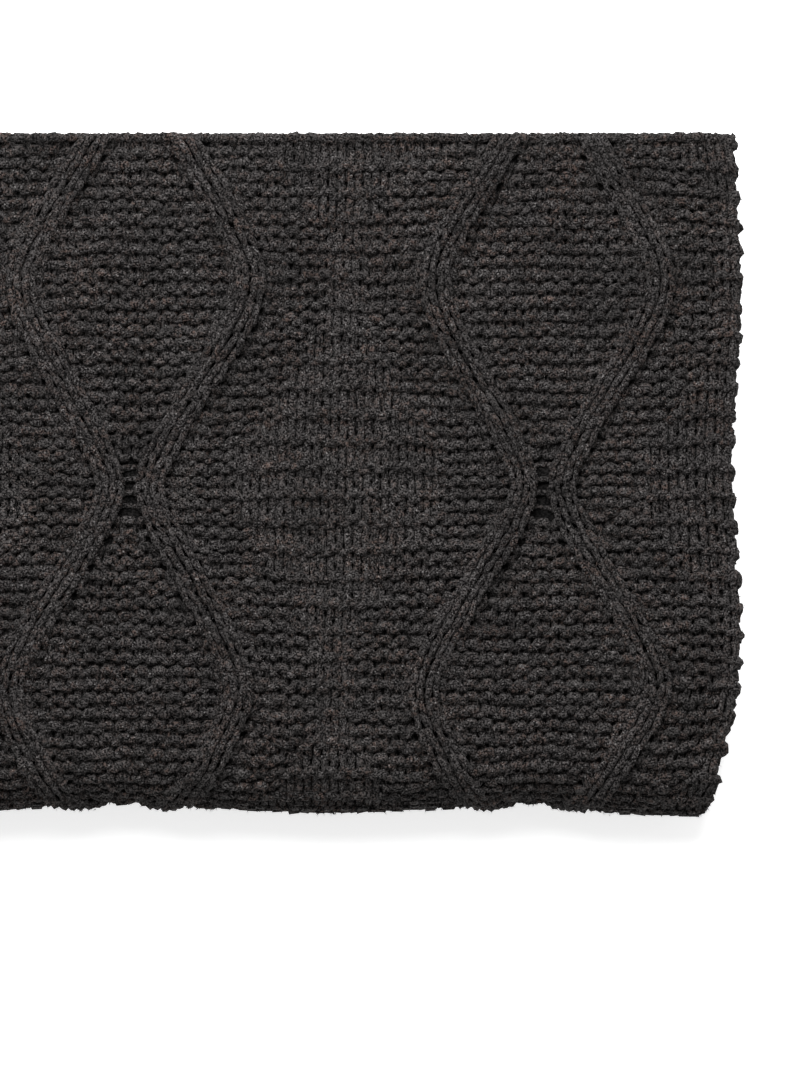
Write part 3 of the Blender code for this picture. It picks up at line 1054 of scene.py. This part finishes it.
class THROW_OT_cloth(bpy.types.Operator):
    """Lays the inside of the cloth behind the loops, as one sheet in all its folds."""

    bl_idname = "throw.cloth"
    bl_label = "Cloth"

    def execute(self, context):
        finish = context.scene.throw_finish
        across = grid_places(
            (CLOTH_INSET, SIDE_TURN, SIDE_TURN_END, FLAT_WIDTH - CLOTH_INSET), (40, 8, 40))
        stops = (CLOTH_INSET, *STRETCH_ENDS[:-1], FLAT_LENGTH - CLOTH_INSET)
        along = grid_places(stops, (16, 16, 16, 12, 16, 12, 16))
        bpy.ops.object.select_all(action="DESELECT")
        bpy.ops.mesh.primitive_grid_add(
            x_subdivisions=len(across) - 1, y_subdivisions=len(along) - 1, size=2)
        cloth = context.object
        cloth.name = "cloth_inside"
        points = np.empty(3 * len(cloth.data.vertices))
        cloth.data.vertices.foreach_get("co", points)
        points = points.reshape(-1, 3)
        column = np.rint((points[:, 0] + 1) / 2 * (len(across) - 1)).astype(int)
        row = np.rint((points[:, 1] + 1) / 2 * (len(along) - 1)).astype(int)
        places = lay_in_bundle(across[column], along[row], CLOTH_INSIDE + 0 * across[column])
        cloth.data.vertices.foreach_set("co", places.ravel())
        cloth.data.update()
        solidify = cloth.modifiers.new("Solidify", "SOLIDIFY")
        solidify.thickness = CLOTH_THICKNESS
        solidify.offset = 0
        bpy.ops.object.modifier_apply(modifier="Solidify")
        face_outwards()
        # Painted shade: the yarn's colour darkened and its tone held low, for the shadow deep in the
        # knit
        store(cloth.data, "tone", np.full(len(cloth.data.vertices), PAINTED_SHADE_TONE_INSIDE))
        cloth.data.materials.clear()
        painted_shade_colour = [PAINTED_SHADE_INSIDE * channel for channel in finish.yarn_colour]
        cloth.data.materials.append(chenille("yarn_in_shade", painted_shade_colour, painted_shade_colour, painted_shade_colour, finish.pile))
        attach(cloth, BODY)
        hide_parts(NODE)
        return {"FINISHED"}


class THROW_OT_stage(bpy.types.Operator):
    """Sets up the floor, the soft light and the camera."""

    bl_idname = "throw.stage"
    bl_label = "Stage"

    def execute(self, context):
        studio = context.scene.throw_studio
        bpy.ops.object.select_all(action="DESELECT")
        bpy.ops.mesh.primitive_plane_add(size=studio.floor_size)
        floor = context.object
        floor.name = "floor"
        paper = bpy.data.materials.new("studio_paper")
        paper.use_nodes = True
        shader = paper.node_tree.nodes["Principled BSDF"]
        shader.inputs["Base Color"].default_value = (0.85, 0.85, 0.85, 1)
        shader.inputs["Roughness"].default_value = 0.9
        shader.inputs["Emission Color"].default_value = (1, 1, 1, 1)
        shader.inputs["Emission Strength"].default_value = studio.floor_glow
        floor.data.materials.append(paper)

        bpy.ops.object.light_add(type="AREA", location=KEY_LIGHT_AT)
        key = context.object
        key.data.shape = "DISK"
        key.data.size = KEY_LIGHT_SIZE
        key.data.energy = studio.key_power
        key.rotation_euler = mathutils.Vector(KEY_LIGHT_AT).to_track_quat("Z", "Y").to_euler()

        world = bpy.data.worlds.new("studio")
        world.use_nodes = True
        background = world.node_tree.nodes["Background"]
        background.inputs["Color"].default_value = (1, 1, 1, 1)
        background.inputs["Strength"].default_value = studio.sky
        context.scene.world = world
        context.scene.view_settings.view_transform = "Standard"

        x = (PHOTO_SIZE[0] / 2 - PHOTO_X_OF_MIDDLE) / PHOTO_PX_PER_M
        y = (PHOTO_Y_OF_MIDDLE - PHOTO_SIZE[1] / 2) / PHOTO_PX_PER_M
        top = SOLID_BOX[1][2]
        bpy.ops.object.camera_add(location=(x, y, top + studio.camera_height), rotation=(0, 0, 0))
        camera = context.object
        seen = PHOTO_SIZE[1] / PHOTO_PX_PER_M
        camera.data.lens = camera.data.sensor_width * studio.camera_height / seen
        context.scene.camera = camera
        return {"FINISHED"}


class THROW_PT_panel(bpy.types.Panel):
    """Lists the pieces of the throw and their sizes."""

    bl_idname = "THROW_PT_panel"
    bl_label = "Folded Throw"
    bl_space_type = "VIEW_3D"
    bl_region_type = "UI"
    bl_category = "Throw"

    def draw(self, context):
        layout = self.layout
        scene = context.scene
        for settings in (scene.throw_knit, scene.throw_finish, scene.throw_studio):
            box = layout.box()
            for name in settings.__annotations__:
                box.prop(settings, name)
        for operator in PIECES:
            layout.operator(operator.bl_idname)


PIECES = (
    THROW_OT_top,
    THROW_OT_front_fold,
    THROW_OT_underside,
    THROW_OT_edges,
    THROW_OT_cloth,
    THROW_OT_stage,
)
CLASSES = (ThrowKnit, ThrowFinish, ThrowStudio, *PIECES, THROW_PT_panel)


def register():
    for cls in CLASSES:
        bpy.utils.register_class(cls)
    bpy.types.Scene.throw_knit = bpy.props.PointerProperty(type=ThrowKnit)
    bpy.types.Scene.throw_finish = bpy.props.PointerProperty(type=ThrowFinish)
    bpy.types.Scene.throw_studio = bpy.props.PointerProperty(type=ThrowStudio)


def unregister():
    del bpy.types.Scene.throw_studio
    del bpy.types.Scene.throw_finish
    del bpy.types.Scene.throw_knit
    for cls in reversed(CLASSES):
        bpy.utils.unregister_class(cls)


def main():
    register()
    bpy.ops.throw.top()
    bpy.ops.throw.front_fold()
    bpy.ops.throw.underside()
    bpy.ops.throw.edges()
    bpy.ops.throw.cloth()
    bpy.ops.throw.stage()


if __name__ == "__main__":
    main()
